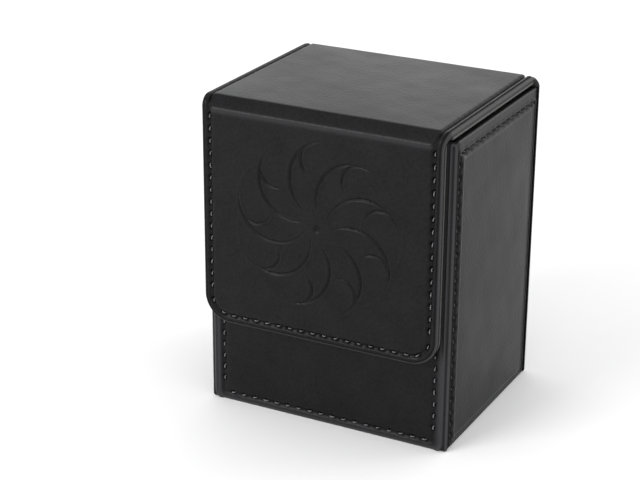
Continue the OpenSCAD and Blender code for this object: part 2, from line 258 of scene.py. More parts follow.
def sheet_mesh(name, bed, across, along, *, corner, roll, turn, relief, grid, back=None, open_ends=(0, 0),
               edge_wear_and_highlight=0.8):
    """A sheet on a bed as a closed mesh.

    across and along are its extents; corner is its corner radius, roll the radius of its turned
    edge, and turn how deep each edge goes down: left, right, start and end. relief(a, b) gives how
    far the face stands up, and its tone: 1 for painted shade, black as in a needle hole, -1 for a
    painted highlight, pale. grid holds the fine bands and steps. back is a thickness, for a sheet of
    even thickness, or None, for one filled behind. open_ends tells which of start and end are cut
    off square, where the next piece of the strip goes on. The last argument sets how pale the turned
    edges are painted, partly for their wear and partly as a painted highlight along the roll.
    """
    arc = roll * (math.pi / 2 - 1)
    left, right, start, end = (arc + depth - roll for depth in turn)
    a_bands, b_bands, fine, coarse = grid
    u = ruled(across[0] - left, across[1] + right, a_bands, fine, coarse)
    b_low = along[0] if open_ends[0] else along[0] - start
    b_high = along[1] if open_ends[1] else along[1] + end
    v = ruled(b_low, b_high, b_bands, fine, coarse)
    grid_u, grid_v = np.meshgrid(u, v, indexing="ij")

    past_a = np.maximum(grid_u - across[1] + corner, 0) - np.maximum(across[0] + corner - grid_u, 0)
    past_end = 0 if open_ends[1] else np.maximum(grid_v - along[1] + corner, 0)
    past_start = 0 if open_ends[0] else np.maximum(along[0] + corner - grid_v, 0)
    past_b = past_end - past_start
    p, q = np.abs(past_a), np.abs(past_b)
    most = np.maximum(p, q)
    ratio = np.minimum(p, q) / np.maximum(most, 1e-9)
    bearing = np.where(p >= q, ratio, 2 - ratio) * math.pi / 4
    lean = np.clip((most - corner + roll) / roll, 0, math.pi / 2)
    reach = np.where(most < corner - roll, most, corner - roll + roll * np.sin(lean))
    wall = np.maximum(most - corner + roll - roll * math.pi / 2, 0)
    sink = roll * (1 - np.cos(lean)) + wall

    lean_a = np.sign(past_a) * np.sin(lean) * np.cos(bearing)
    lean_b = np.sign(past_b) * np.sin(lean) * np.sin(bearing)
    a = grid_u - past_a + np.sign(past_a) * reach * np.cos(bearing)
    b = grid_v - past_b + np.sign(past_b) * reach * np.sin(bearing)
    height, tone = relief(a, b)
    height = height * np.cos(lean)
    face = bed.place(a + height * lean_a, b + height * lean_b, height * np.cos(lean) - sink)
    # Painted highlight and wear: turned edges, and places of negative tone, are painted pale; positive
    # tone is painted shade, darkening to black
    wear_and_highlight = np.maximum(np.sin(2 * lean) * edge_wear_and_highlight, -tone)
    painted_shade = np.maximum(tone, 0)

    rows, columns = len(u), len(v)
    index = np.arange(rows * columns).reshape(rows, columns)
    corners = (index[:-1, :-1], index[1:, :-1], index[1:, 1:], index[:-1, 1:])
    quads = np.stack([c.ravel() for c in corners], axis=1)
    points, faces, backs = face.reshape(-1, 3), quads.tolist(), []
    if back is None:
        ends = [index[:, 0].tolist(), index[:, -1].tolist()]
        sides = [
            [index[0, j], index[0, j + 1], index[-1, j + 1], index[-1, j]] for j in range(columns - 1)
        ]
        if open_ends[0]:
            backs.append(ends[0][::-1])
        else:
            sides[0] = ends[0][::-1] + [index[0, 1], index[-1, 1]]
        if open_ends[1]:
            backs.append(ends[1])
        else:
            sides[-1] = ends[1] + [index[-1, -2], index[0, -2]]
        backs += sides
    else:
        inner = bed.place(a - back * lean_a, b - back * lean_b, -sink - back * np.cos(lean))
        points = np.concatenate([points, inner.reshape(-1, 3)])
        shift = rows * columns
        backs += (quads[:, ::-1] + shift).tolist()
        rim = [index[:-1, 0], index[-1, :-1], index[:0:-1, -1], index[0, :0:-1]]
        loop = np.concatenate(rim)
        after = np.roll(loop, -1)
        backs += np.stack([after, loop, loop + shift, after + shift], axis=1).tolist()
        wear_and_highlight = np.concatenate([wear_and_highlight.ravel(), np.zeros(shift)])
        painted_shade = np.concatenate([painted_shade.ravel(), np.zeros(shift)])
    faces += backs
    if bed.mirrored:
        faces = [list(reversed(f)) for f in faces]
    material_index = np.zeros(len(faces), np.int32)
    material_index[len(quads):] = 1
    return build(name, points, faces, material_index, {"wear_and_highlight": wear_and_highlight, "painted_shade": painted_shade})


def build(name, points, faces, material_index=None, attributes=None):
    """A linked object from points and faces, smooth except over its sharp edges."""
    mesh = bpy.data.meshes.new(name)
    mesh.from_pydata([tuple(p) for p in points.tolist()], [], [[int(i) for i in f] for f in faces])
    if material_index is not None:
        mesh.polygons.foreach_set("material_index", material_index)
    for key, values in (attributes or {}).items():
        attribute = mesh.attributes.new(key, "FLOAT", "POINT")
        attribute.data.foreach_set("value", values.ravel().astype(np.float32))
    mesh.polygons.foreach_set("use_smooth", np.ones(len(faces), bool))
    mesh.set_sharp_from_angle(angle=math.radians(50))
    mesh.update()
    piece = bpy.data.objects.new(name, mesh)
    bpy.context.scene.collection.objects.link(piece)
    return piece


def finish_piece(piece, materials, nodes, body=None):
    """Gives a piece its materials, the CAD nodes it stands for and the body it rides on."""
    for material in materials:
        piece.data.materials.append(material)
    if nodes:
        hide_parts(*nodes)
    if body:
        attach(piece, body)
    return piece


# ---------- stitches ----------


def stitches(node):
    """Middle and half-length of every stitch of a CAD node, as two arrays of points."""
    mesh = bmesh.new()
    mesh.from_mesh(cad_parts[node].data)
    bmesh.ops.remove_doubles(mesh, verts=mesh.verts, dist=1e-6)
    mesh.verts.ensure_lookup_table()
    seen, middles, halves = set(), [], []
    for first in mesh.verts:
        if first.index in seen:
            continue
        group, queue = [], [first]
        seen.add(first.index)
        while queue:
            vertex = queue.pop()
            group.append(vertex.co)
            for edge in vertex.link_edges:
                other = edge.other_vert(vertex)
                if other.index not in seen:
                    seen.add(other.index)
                    queue.append(other)
        cloud = np.array([tuple(co) for co in group])
        middle = cloud.mean(axis=0)
        _, _, axes = np.linalg.svd(cloud - middle)
        reach = np.abs((cloud - middle) @ axes[0]).max()
        # Every stitch points up, or to the right where it lies level
        way = axes[0] * (1 if axes[0][2] + 0.5 * axes[0][0] + 0.25 * axes[0][1] > 0 else -1)
        middles.append(middle)
        halves.append(way * reach)
    mesh.free()
    return np.array(middles), np.array(halves)


def nearest(a, b, points_a, points_b, mask):
    """Distance from each masked place to the nearest of some points, and far elsewhere."""
    far = np.full(a.shape, 1.0)
    if not mask.any() or not len(points_a):
        return far
    found = np.full(int(mask.sum()), 1.0)
    here_a, here_b = a[mask], b[mask]
    for at_a, at_b in zip(points_a, points_b):
        found = np.minimum(found, np.hypot(here_a - at_a, here_b - at_b))
    far[mask] = found
    return far


def seam_marks(bed, nodes, a, b, seam, torn=1.0):
    """How the stitches draw the leatherette in: pits at the needle holes, and dimples between.

    torn widens the holes. Gives the height they add, and the painted shade of the needle holes.
    """
    reach = 4 * MM  # past this a stitch moves nothing
    dimple = 1.2 * MM
    scatter = 0.1 * MM  # how far a needle misses its mark
    near = np.abs(seam) < reach
    look = bpy.context.scene.deck_box_stitching
    total, dark = np.zeros(a.shape), np.zeros(a.shape)
    for node in nodes:
        middles, halves = stitches(node)
        draw = np.random.default_rng(len(middles) + 7)
        mid_a, mid_b = bed.find(middles)
        near_mid = nearest(a, b, mid_a, mid_b, near)
        total -= look.pucker * bell(near_mid, dimple)
        # The thread tears its hole wider at the end where it is pulled tight
        for end, size in ((0.9, torn), (-1, 0.6 * torn)):
            ends = middles + halves * look.reach * end
            ends += draw.normal(0, scatter, ends.shape)
            near_hole = nearest(a, b, *bed.find(ends), near)
            total -= size * look.hole_depth * bell(near_hole, look.hole_width * size)
            # Painted shade in each needle hole
            dark = np.maximum(dark, bell(near_hole, look.hole_width * size * 0.9) ** 0.7)
    return total, dark


def thread_rope(name, node, bed, sunk=0.0):
    """Every stitch of a node as two twisted plies that rise from one hole and dive into the next.

    sunk is how much deeper the thread lies where its seam is a deep groove.
    """
    look = bpy.context.scene.deck_box_stitching
    middles, halves = stitches(node)
    _, along = bed.find(middles)
    up = np.array(bed.up_at(along), float)
    lengths = np.linalg.norm(halves, axis=1)
    heading = halves / lengths[:, None]
    draw = np.random.default_rng(len(middles))
    tilt = draw.normal(0, 0.1, len(middles))
    side = np.cross(up, heading)
    heading = heading * np.cos(tilt)[:, None] + side * np.sin(tilt)[:, None]
    side = np.cross(up, heading)
    # The CAD stitch stands on the leatherette; its foot is half its height below its middle
    foot = middles - up * (look.thread_height / 2 + sunk)
    rings, sides, plies = 13, 7, 2
    tightness = 0.09 * MM  # how unevenly deep the stitches are pulled
    t = np.linspace(-1, 1, rings)
    rise = look.thread_height - look.thread_width / 2
    dive = look.thread_width + look.trench_depth
    arch = rise - look.trench_sink - dive * np.abs(t) ** 5
    bow = 1 + draw.normal(0, 0.12, len(middles))
    foot -= up * np.abs(draw.normal(0, tightness, len(middles)))[:, None]
    # The plies lie opposite each other and turn about each other, a little flattened, along a stitch
    twist = t[:, None] * math.pi * 1.15 + np.array([0, math.pi])
    centre_side = np.cos(twist) * look.thread_width * 0.24
    centre_up = np.sin(twist) * look.thread_width * 0.2
    ring = np.linspace(0, 2 * math.pi, sides, endpoint=False)
    radius = look.thread_width * 0.3 * (1 - 0.35 * np.abs(t) ** 6)
    circle_side = np.cos(ring)[None, :] * radius[:, None]
    circle_up = np.sin(ring)[None, :] * radius[:, None]
    points, faces = [], []
    base = 0
    for at in range(len(middles)):
        length = lengths[at] * bow[at] * look.reach
        for ply in range(plies):
            across = centre_side[:, ply][:, None] + circle_side
            upward = arch[:, None] + centre_up[:, ply][:, None] + circle_up
            tube = foot[at] + (t * length)[:, None, None] * heading[at]
            tube = tube + across[..., None] * side[at] + upward[..., None] * up[at]
            points.append(tube.reshape(-1, 3))
            for i in range(rings - 1):
                for j in range(sides):
                    k = (j + 1) % sides
                    a0, a1 = base + i * sides + j, base + i * sides + k
                    faces.append([a0, a1, a1 + sides, a0 + sides])
            faces.append([base + j for j in range(sides)][::-1])
            faces.append([base + (rings - 1) * sides + j for j in range(sides)])
            base += rings * sides
    return build(name, np.concatenate(points), faces)


# ---------- relief of the covers ----------


def padded_relief(seam, border, shoulder=None):
    """Padding that rises inside a seam, the trench of the seam and the soft border outside it."""
    look = bpy.context.scene.deck_box_padding
    sewing = bpy.context.scene.deck_box_stitching
    inside = look.height * smooth(-seam / (look.shoulder if shoulder is None else shoulder))
    outside = look.border_bulge * np.sin(np.clip(seam / border, 0, 1) * math.pi) ** 0.7
    return np.where(seam < 0, inside, outside) - sewing.trench_depth * bell(seam, sewing.trench_width)


def waver(a, b, size):
    """The slight unevenness of a skin glued over foam."""
    k = 2 * math.pi / MM
    swell = np.sin(a * k / 31 + 1.3) * np.sin(b * k / 23 + 0.4)
    swell += 0.6 * np.sin(a * k / 17 + b * k / 29 + 2.1) * np.sin(b * k / 13 - a * k / 41)
    return size * swell


def even_relief(size, drop):
    """The relief of a sheet with nothing on it but its slight waver."""
    return lambda a, b: (waver(a, b, size) - drop, np.zeros(a.shape))


def strip_relief(a, b, nodes):
    """The cover strip's face: one padded field between its two long seams, all round the box."""
    look = bpy.context.scene.deck_box_padding
    groove_width, crease_width = 0.34 * MM, 0.22 * MM
    fade = 6 * MM  # width over which the crown and the waver die away toward a seam
    seam_low = low("flap_stitches", Z) + HALF_THREAD
    past_foot = BACK_END + 0.1  # the seams run on past the foot, so they have no corner there
    box = ((ON_FLAP[1], seam_low), (ON_FLAP[2], past_foot))
    seam = outline_distance(a, b, box, SEAM_CORNER)
    on_lid = smooth((b - FOLD_Z) / BEND_LEN)
    height = padded_relief(seam, ON_FLAP[3] - ON_FLAP[2], look.shoulder * (1 - 0.5 * on_lid))
    height -= look.lid_groove * on_lid * bell(seam, groove_width)
    # Two layers meet along the border: a fine crease runs round it, outside the seam
    crease = bell(seam - look.crease_at, crease_width)
    height -= look.crease_depth * (1 + 0.4 * on_lid) * crease
    field = smooth(-seam / fade)
    across = 1 - ((a - (ON_FLAP[1] + ON_FLAP[2]) / 2) / (40 * MM)) ** 2
    for start, end in ((FLAP_END, FOLD_Z), (LID_START, LID_END), (BACK_START, BACK_END)):
        swell = np.sin(np.clip((b - start) / (end - start), 0, 1) * math.pi) ** 0.8
        height += look.crown * swell * across * field
    height += waver(a, b, look.unevenness) * field
    # Between the two boards the front fold lies nearly flat, above a fine ridge at the flap's top
    turn = np.clip((b - FOLD_Z) / BEND_R, 0, math.pi / 2)
    facet, middle = math.radians(34), math.radians(42)
    chord = math.cos(facet) / np.cos(np.clip(turn - middle, -facet, facet))
    padded = smooth(-seam / (1.6 * MM))
    below_fold = b - FOLD_Z + 0.35 * MM
    height -= padded * BEND_R * (1 - chord) * (b < LID_END)
    height += padded * look.fold_ridge * bell(below_fold, 0.75 * MM)
    # On the lid the seam is one clean groove; on the flap every stitch draws it in
    marks, dark = seam_marks(STRIP, nodes, a, b, seam)
    height += marks * (1 - 0.85 * on_lid)
    # Painted shade in the needle holes, in the lid's grooves and along the border's crease
    dark = np.maximum(dark * (1 - on_lid), on_lid * bell(seam, 0.3 * MM))
    dark = np.maximum(dark, (0.6 + 0.4 * on_lid) * crease)
    # Painted highlight along the fine ridge below the fold
    dark -= 0.3 * padded * bell(below_fold, 0.8 * MM)
    return height, dark


def pressed_ornament(a, b):
    """The pressed whirl, as height and tone: a ring of long thin crescents, with short ones between."""
    look = bpy.context.scene.deck_box_ornament
    radius, hub = look.radius, look.radius * 0.1
    long_r, short_r = (radius - hub) / 2, radius * 0.2
    x = a - (ON_FLAP[0] + ON_FLAP[3]) / 2
    y = b - look.centre_height
    depth = hub / 2 - np.hypot(x, y)
    for arm in range(look.arms):
        for moon_r, at, lead in ((long_r, hub + long_r, 0), (short_r, 0.76 * radius, 1.3)):
            turn = (arm + lead) * 2 * math.pi / look.arms
            u = x * math.cos(turn) + y * math.sin(turn)
            w = y * math.cos(turn) - x * math.sin(turn)
            outer = moon_r - np.hypot(u - at, w)
            inner = np.hypot(u - at, w + look.groove_width) - moon_r
            depth = np.maximum(depth, np.minimum(outer, inner))
    # The hot stamp leaves steep walls and squeezes up a low lip beside them; the crescents' floor gets
    # painted shade
    lip, sunk = bell(depth + 0.3 * MM, 0.35 * MM), smooth(depth / look.wall)
    return look.lip * lip - look.depth * sunk, 0.25 * sunk


def strip_piece(name, start, end, nodes, fine_b, open_ends, *, extra=None, extra_bands=(), corner=None,
                fine=0.32 * MM, coarse_b=1.6 * MM):
    """One length of the cover strip, from start to end along its path."""
    look = bpy.context.scene.deck_box_leather
    border, inside = 2 * MM, 2.5 * MM
    seams = (
        (ON_FLAP[0] - border, ON_FLAP[1] + inside),
        (ON_FLAP[2] - inside, ON_FLAP[3] + border),
    )

    def relief(a, b):
        height, dark = strip_relief(a, b, nodes)
        if extra:
            more_height, more_tone = extra(a, b)
            height, dark = height + more_height, dark + more_tone
        return height, dark

    return sheet_mesh(
        name,
        STRIP,
        (ON_FLAP[0], ON_FLAP[3]),
        (start, end),
        corner=corner or look.roll,
        roll=look.roll,
        turn=(look.cover_thickness,) * 4,
        relief=relief,
        grid=(seams + extra_bands, fine_b, fine, coarse_b),
        open_ends=open_ends,
    )


# ---------- materials ----------


def linear(hex_colour):
    """An sRGB hex colour as linear RGBA."""
    parts = [int(hex_colour[i:i + 2], 16) / 255 for i in (1, 3, 5)]
    return tuple(c / 12.92 if c <= 0.04045 else ((c + 0.055) / 1.055) ** 2.4 for c in parts) + (1.0,)


def node(tree, kind, settings=None, values=None, links=None):
    """Adds a node with its settings, its fixed values and the sockets linked into it."""
    added = tree.nodes.new(kind)
    for key, value in (settings or {}).items():
        setattr(added, key, value)
    for key, value in (values or {}).items():
        added.inputs[key].default_value = value
    for key, source in (links or {}).items():
        tree.links.new(source, added.inputs[key])
    return added


def new_material(name):
    """An empty node material, its tree and the place that its patterns lie in."""
    material = bpy.data.materials.new(name)
    material.use_nodes = True
    tree = material.node_tree
    tree.nodes.clear()
    return material, tree, node(tree, "ShaderNodeTexCoord").outputs["Object"]


def surface(tree, values, links):
    """Ends a material's tree with its shader and output."""
    shader = node(tree, "ShaderNodeBsdfPrincipled", None, values, links)
    node(tree, "ShaderNodeOutputMaterial", links={"Surface": shader.outputs["BSDF"]})


def per_metre(size):
    """A texture's scale for features of this size."""
    return 1 / size


def leatherette():
    """PU leatherette, calendered: a soft satin film over a knitted back, printed with a fine
    pebble grain, so it gives broad dull highlights that break up over the grain. Its rolled edges,
    ridges and scallops are painted lighter and smoother, partly for wear and partly as a painted
    highlight, and its pebble valleys, needle holes, creases and grooves get painted shade."""
    look = bpy.context.scene.deck_box_leather
    material, tree, place = new_material("pu_leatherette_calendered")
    # Pebbles of the printed grain, drawn a little coarser than they are made, and the film's tooth
    pebble = node(tree, "ShaderNodeTexVoronoi", {"feature": "SMOOTH_F1"},
                  {"Scale": per_metre(look.grain), "Smoothness": 0.35, "Randomness": 1.0},
                  {"Vector": place})
    tooth = node(tree, "ShaderNodeTexNoise", None, {"Scale": per_metre(look.grain / 2), "Detail": 3.0},
                 {"Vector": place})
    grain = node(tree, "ShaderNodeMath", {"operation": "MULTIPLY_ADD"}, {1: 0.6},
                 {0: tooth.outputs["Fac"], 2: pebble.outputs["Distance"]})
    bump = node(tree, "ShaderNodeBump", None, {"Strength": look.grain_strength, "Distance": 0.08 * MM},
                {"Height": grain.outputs["Value"]})
    # Painted shade darkens the valleys between the pebbles; the clouds come from the knitted back
    cloud = node(tree, "ShaderNodeTexNoise", None,
                 {"Scale": per_metre(9 * MM), "Detail": 4.0, "Roughness": 0.6}, {"Vector": place})
    shade = node(tree, "ShaderNodeMath", {"operation": "MULTIPLY_ADD"}, {1: 0.7},
                 {0: grain.outputs["Value"], 2: cloud.outputs["Fac"]})
    spread = node(tree, "ShaderNodeMapRange", None, {"From Min": 0.5, "From Max": 1.5},
                  {"Value": shade.outputs["Value"]})
    tone = node(tree, "ShaderNodeMix", {"data_type": "RGBA"},
                {"A": linear(look.light), "B": linear(look.dark)}, {"Factor": spread.outputs["Result"]})
    # Painted highlight and wear: rolled edges, ridges and scallops are painted in the pale tone
    wear_and_highlight = node(tree, "ShaderNodeAttribute", {"attribute_name": "wear_and_highlight"})
    worn_and_highlit = node(tree, "ShaderNodeMix", {"data_type": "RGBA"}, {"B": linear(look.worn_and_highlit)},
                {"A": tone.outputs["Result"], "Factor": wear_and_highlight.outputs["Fac"]})
    # Painted shade: needle holes, creases, grooves and shaded strips are painted darker, down to black,
    # and duller
    painted_shade = node(tree, "ShaderNodeAttribute", {"attribute_name": "painted_shade"})
    shade_painted_colour = node(tree, "ShaderNodeMix", {"data_type": "RGBA"}, {"B": (0, 0, 0, 1)},
                 {"A": worn_and_highlit.outputs["Result"], "Factor": painted_shade.outputs["Fac"]})
    # Gloss varies in patches where the film was laid on thicker
    patch = node(tree, "ShaderNodeTexNoise", None, {"Scale": per_metre(16 * MM), "Detail": 3.0},
                 {"Vector": place})
    gloss = node(tree, "ShaderNodeMapRange", None,
                 {"From Min": 0.3, "From Max": 0.7, "To Min": look.roughness - 0.03,
                  "To Max": look.roughness + 0.03},
                 {"Value": patch.outputs["Fac"]})
    dulled = node(tree, "ShaderNodeMath", {"operation": "MULTIPLY_ADD"}, {1: 0.6},
                  {0: painted_shade.outputs["Fac"], 2: gloss.outputs["Result"]})
    surface(tree, {"Specular IOR Level": look.specular},
            {"Base Color": shade_painted_colour.outputs["Result"], "Roughness": dulled.outputs["Value"],
             "Normal": bump.outputs["Normal"]})
    return material


def microfibre():
    """Microfibre, warp-knitted and brushed: very matt, with a short nap that catches light at
    its edge and lies in cloudy strokes."""
    look = bpy.context.scene.deck_box_leather
    material, tree, place = new_material("microfibre_brushed")
    stroke = node(tree, "ShaderNodeTexNoise", None,
                  {"Scale": per_metre(7 * MM), "Detail": 5.0, "Distortion": 0.6}, {"Vector": place})
    # The nap is drawn coarser than its fibres, which are too fine to show
    nap = node(tree, "ShaderNodeTexNoise", None, {"Scale": per_metre(0.35 * MM), "Detail": 3.0},
               {"Vector": place})
    shade = node(tree, "ShaderNodeMath", {"operation": "MULTIPLY_ADD"}, {1: 0.4},
                 {0: nap.outputs["Fac"], 2: stroke.outputs["Fac"]})
    tone = node(tree, "ShaderNodeMix", {"data_type": "RGBA"},
                {"A": linear(look.lining_dark), "B": linear(look.lining_light)},
                {"Factor": shade.outputs["Value"]})
    # Where an edge is turned and pressed the nap lies flat and looks paler; the paler tone is also a
    # painted highlight along the roll
    wear_and_highlight = node(tree, "ShaderNodeAttribute", {"attribute_name": "wear_and_highlight"})
    pressed = node(tree, "ShaderNodeMix", {"data_type": "RGBA"}, {"B": linear(look.lining_pressed_and_lit)},
                   {"A": tone.outputs["Result"], "Factor": wear_and_highlight.outputs["Fac"]})
    bump = node(tree, "ShaderNodeBump", None, {"Strength": 0.5, "Distance": 0.08 * MM},
                {"Height": nap.outputs["Fac"]})
    surface(tree, {"Roughness": 0.92, "Sheen Weight": 0.2, "Sheen Roughness": 0.45},
            {"Base Color": pressed.outputs["Result"], "Normal": bump.outputs["Normal"]})
    return material


def sewing_thread(name, pale, deep):
    """Bonded polyester thread, twisted from two plies: each ply has a silky streak along it."""
    material, tree, place = new_material(name)
    fibre = node(tree, "ShaderNodeTexNoise", None, {"Scale": per_metre(0.18 * MM), "Detail": 2.0},
                 {"Vector": place})
    tone = node(tree, "ShaderNodeMix", {"data_type": "RGBA"}, {"A": linear(deep), "B": linear(pale)},
                {"Factor": fibre.outputs["Fac"]})
    bump = node(tree, "ShaderNodeBump", None, {"Strength": 0.4, "Distance": 0.03 * MM},
                {"Height": fibre.outputs["Fac"]})
    surface(tree, {"Roughness": 0.5, "Sheen Weight": 0.2},
            {"Base Color": tone.outputs["Result"], "Normal": bump.outputs["Normal"]})
    return material


def greyboard():
    """Greyboard, pressed from waste paper: matt, with flecks of pulp and a fibrous cut edge."""
    material, tree, place = new_material("greyboard_pressed")
    fleck = node(tree, "ShaderNodeTexNoise", None,
                 {"Scale": per_metre(1.2 * MM), "Detail": 6.0, "Roughness": 0.7}, {"Vector": place})
    tone = node(tree, "ShaderNodeMix", {"data_type": "RGBA"},
                {"A": linear("#77736b"), "B": linear("#a7a298")}, {"Factor": fleck.outputs["Fac"]})
    bump = node(tree, "ShaderNodeBump", None, {"Strength": 0.4, "Distance": 0.06 * MM},
                {"Height": fleck.outputs["Fac"]})
    surface(tree, {"Roughness": 0.9},
            {"Base Color": tone.outputs["Result"], "Normal": bump.outputs["Normal"]})
    return material


def nickel_plate():
    """Nickel plate on a sintered magnet, barrel-plated: bright, with a faint orange peel."""
    material, tree, place = new_material("nickel_barrel_plated")
    peel = node(tree, "ShaderNodeTexNoise", None, {"Scale": per_metre(0.8 * MM), "Detail": 2.0},
                {"Vector": place})
    gloss = node(tree, "ShaderNodeMapRange", None, {"To Min": 0.16, "To Max": 0.3},
                 {"Value": peel.outputs["Fac"]})
    bump = node(tree, "ShaderNodeBump", None, {"Strength": 0.15, "Distance": 0.02 * MM},
                {"Height": peel.outputs["Fac"]})
    surface(tree, {"Base Color": linear("#c9c5bd"), "Metallic": 1.0},
            {"Roughness": gloss.outputs["Result"], "Normal": bump.outputs["Normal"]})
    return material


def painted_floor():
    """Matt emulsion on board, rolled: pale, with no gloss of its own."""
    material, tree, place = new_material("emulsion_rolled")
    stipple = node(tree, "ShaderNodeTexNoise", None, {"Scale": per_metre(60 * MM), "Detail": 2.0},
                   {"Vector": place})
    tone = node(tree, "ShaderNodeMix", {"data_type": "RGBA"},
                {"A": linear("#f3f3f3"), "B": linear("#f7f7f7")}, {"Factor": stipple.outputs["Fac"]})
    surface(tree, {"Roughness": 0.95, "Specular IOR Level": 0.1}, {"Base Color": tone.outputs["Result"]})
    return material


def shared(maker, name, *colours):
    """A material made once and then shared by every piece that needs it."""
    made = bpy.data.materials.get(name)
    if made:
        return made
    return maker(name, *colours) if colours else maker()


def leather_pair():
    """Leatherette for a face, and leatherette again for what is turned behind it."""
    skin = shared(leatherette, "pu_leatherette_calendered")
    return [skin, skin]


def lining_pair():
    """Lining for a face, and lining again for what is turned behind it."""
    cloth = shared(microfibre, "microfibre_brushed")
    return [cloth, cloth]


def pale_thread():
    """The smoke grey thread of the front and the flap."""
    return shared(sewing_thread, "thread_smoke_grey", "#88888b", "#4c4c50")


def black_thread():
    """The black thread of every other seam."""
    return shared(sewing_thread, "thread_black", "#4a4a4d", "#1c1c1e")


# ---------- settings ----------


LENGTH = {"unit": "LENGTH", "precision": 5}


class DeckBoxLeather(PropertyGroup):
    """Leatherette and lining."""

    dark: StringProperty(
        name="Dark", description="Darkest tone of the leatherette, sRGB hex",
        default="#0b0b0c"
    )
    light: StringProperty(
        name="Light", description="Lightest tone of the leatherette, sRGB hex",
        default="#1a1a1c"
    )
    # Tone that rolled edges, ridges and scallops are painted in: partly wear, partly a painted highlight
    worn_and_highlit: StringProperty(name="Worn", description="Tone of rubbed edges, sRGB hex", default="#464648")
    lining_dark: StringProperty(
        name="Lining dark", description="Dark strokes of the lining",
        default="#232221"
    )
    lining_light: StringProperty(
        name="Lining light", description="Light strokes of the lining",
        default="#403e3b"
    )
    # Tone of the lining's turned edges: pressed nap, and partly a painted highlight
    lining_pressed_and_lit: StringProperty(
        name="Lining pressed", description="Tone of the lining's turned edges",
        default="#5b5854"
    )
    roughness: FloatProperty(
        name="Roughness", description="Roughness of the film",
        default=0.37, min=0.1, max=1
    )
    specular: FloatProperty(
        name="Gloss level", description="Strength of the film's gloss",
        default=0.13, min=0, max=1
    )
    grain: FloatProperty(
        name="Grain", description="Size of a pebble of the grain",
        default=0.9 * MM, min=0.2 * MM, max=3 * MM, **LENGTH
    )
    grain_strength: FloatProperty(
        name="Grain strength", description="Strength of the grain",
        default=0.5, min=0, max=1
    )
    cover_thickness: FloatProperty(
        name="Cover thickness", description="Thickness of a cover at its sewn border",
        default=1.2 * MM, min=0.8 * MM, max=2 * MM, **LENGTH
    )
    roll: FloatProperty(
        name="Edge roll", description="Radius of a turned edge",
        default=0.7 * MM, min=0.3 * MM, max=1 * MM, **LENGTH
    )


class DeckBoxStitching(PropertyGroup):
    """Seams and thread."""

    thread_width: FloatProperty(
        name="Thread width", description="Width of the twisted thread",
        default=0.38 * MM, min=0.3 * MM, max=1 * MM, **LENGTH
    )
    thread_height: FloatProperty(
        name="Thread height", description="Height of a stitch above the leatherette",
        default=0.3 * MM, min=0.1 * MM, max=0.6 * MM, **LENGTH
    )
    trench_depth: FloatProperty(
        name="Seam depth", description="How far a seam is drawn in",
        default=0.3 * MM, min=0, max=1 * MM, **LENGTH
    )
    trench_width: FloatProperty(
        name="Seam width", description="Half-width of the drawn-in seam",
        default=0.55 * MM, min=0.2 * MM, max=2 * MM, **LENGTH
    )
    trench_sink: FloatProperty(
        name="Thread sink", description="How far the thread sinks in its seam",
        default=0.12 * MM, min=0, max=1 * MM, **LENGTH
    )
    pucker: FloatProperty(
        name="Pucker", description="Depth of the dimple at a stitch",
        default=0.2 * MM, min=0, max=0.5 * MM, **LENGTH
    )
    hole_depth: FloatProperty(
        name="Needle holes", description="Depth of a needle hole",
        default=0.55 * MM, min=0, max=1 * MM, **LENGTH
    )
    hole_width: FloatProperty(
        name="Hole width", description="Half-width of a needle hole",
        default=0.6 * MM, min=0.2 * MM, max=1 * MM, **LENGTH
    )
    reach: FloatProperty(
        name="Stitch reach", description="Share of the frame's stitch that stays in sight",
        default=0.52, min=0.4, max=1
    )


class DeckBoxPadding(PropertyGroup):
    """Foam under the covers."""

    height: FloatProperty(
        name="Padding", description="Height of the padding above the border",
        default=PAD, min=0, max=2 * MM, **LENGTH
    )
    shoulder: FloatProperty(
        name="Shoulder", description="Width over which the padding rises",
        default=1.3 * MM, min=0.5 * MM, max=6 * MM, **LENGTH
    )
    border_bulge: FloatProperty(
        name="Border", description="Height of the soft border's crown",
        default=0.36 * MM, min=0, max=1 * MM, **LENGTH
    )
    crown: FloatProperty(
        name="Crown", description="Swell of a padded field at its middle",
        default=0.25 * MM, min=0, max=2 * MM, **LENGTH
    )
    bunch: FloatProperty(
        name="Bunching", description="Height of the padding bunched up at the side seams",
        default=0.32 * MM, min=0, max=0.5 * MM, **LENGTH
    )
    unevenness: FloatProperty(
        name="Unevenness", description="Waver of a padded face",
        default=0.025 * MM, min=0, max=0.5 * MM, **LENGTH
    )
    crease_at: FloatProperty(
        name="Border crease", description="Distance from the seam to the border's crease",
        default=1.75 * MM, min=0.5 * MM, max=3 * MM, **LENGTH
    )
    crease_depth: FloatProperty(
        name="Crease depth", description="Depth of the border's crease",
        default=0.22 * MM, min=0, max=0.6 * MM, **LENGTH
    )
    fold_ridge: FloatProperty(
        name="Fold ridge", description="Height of the ridge at the front fold's lower end",
        default=0.22 * MM, min=0, max=0.6 * MM, **LENGTH
    )
    lid_groove: FloatProperty(
        name="Lid grooves", description="Extra depth of the lid's seams",
        default=0.6 * MM, min=0, max=1 * MM, **LENGTH
    )


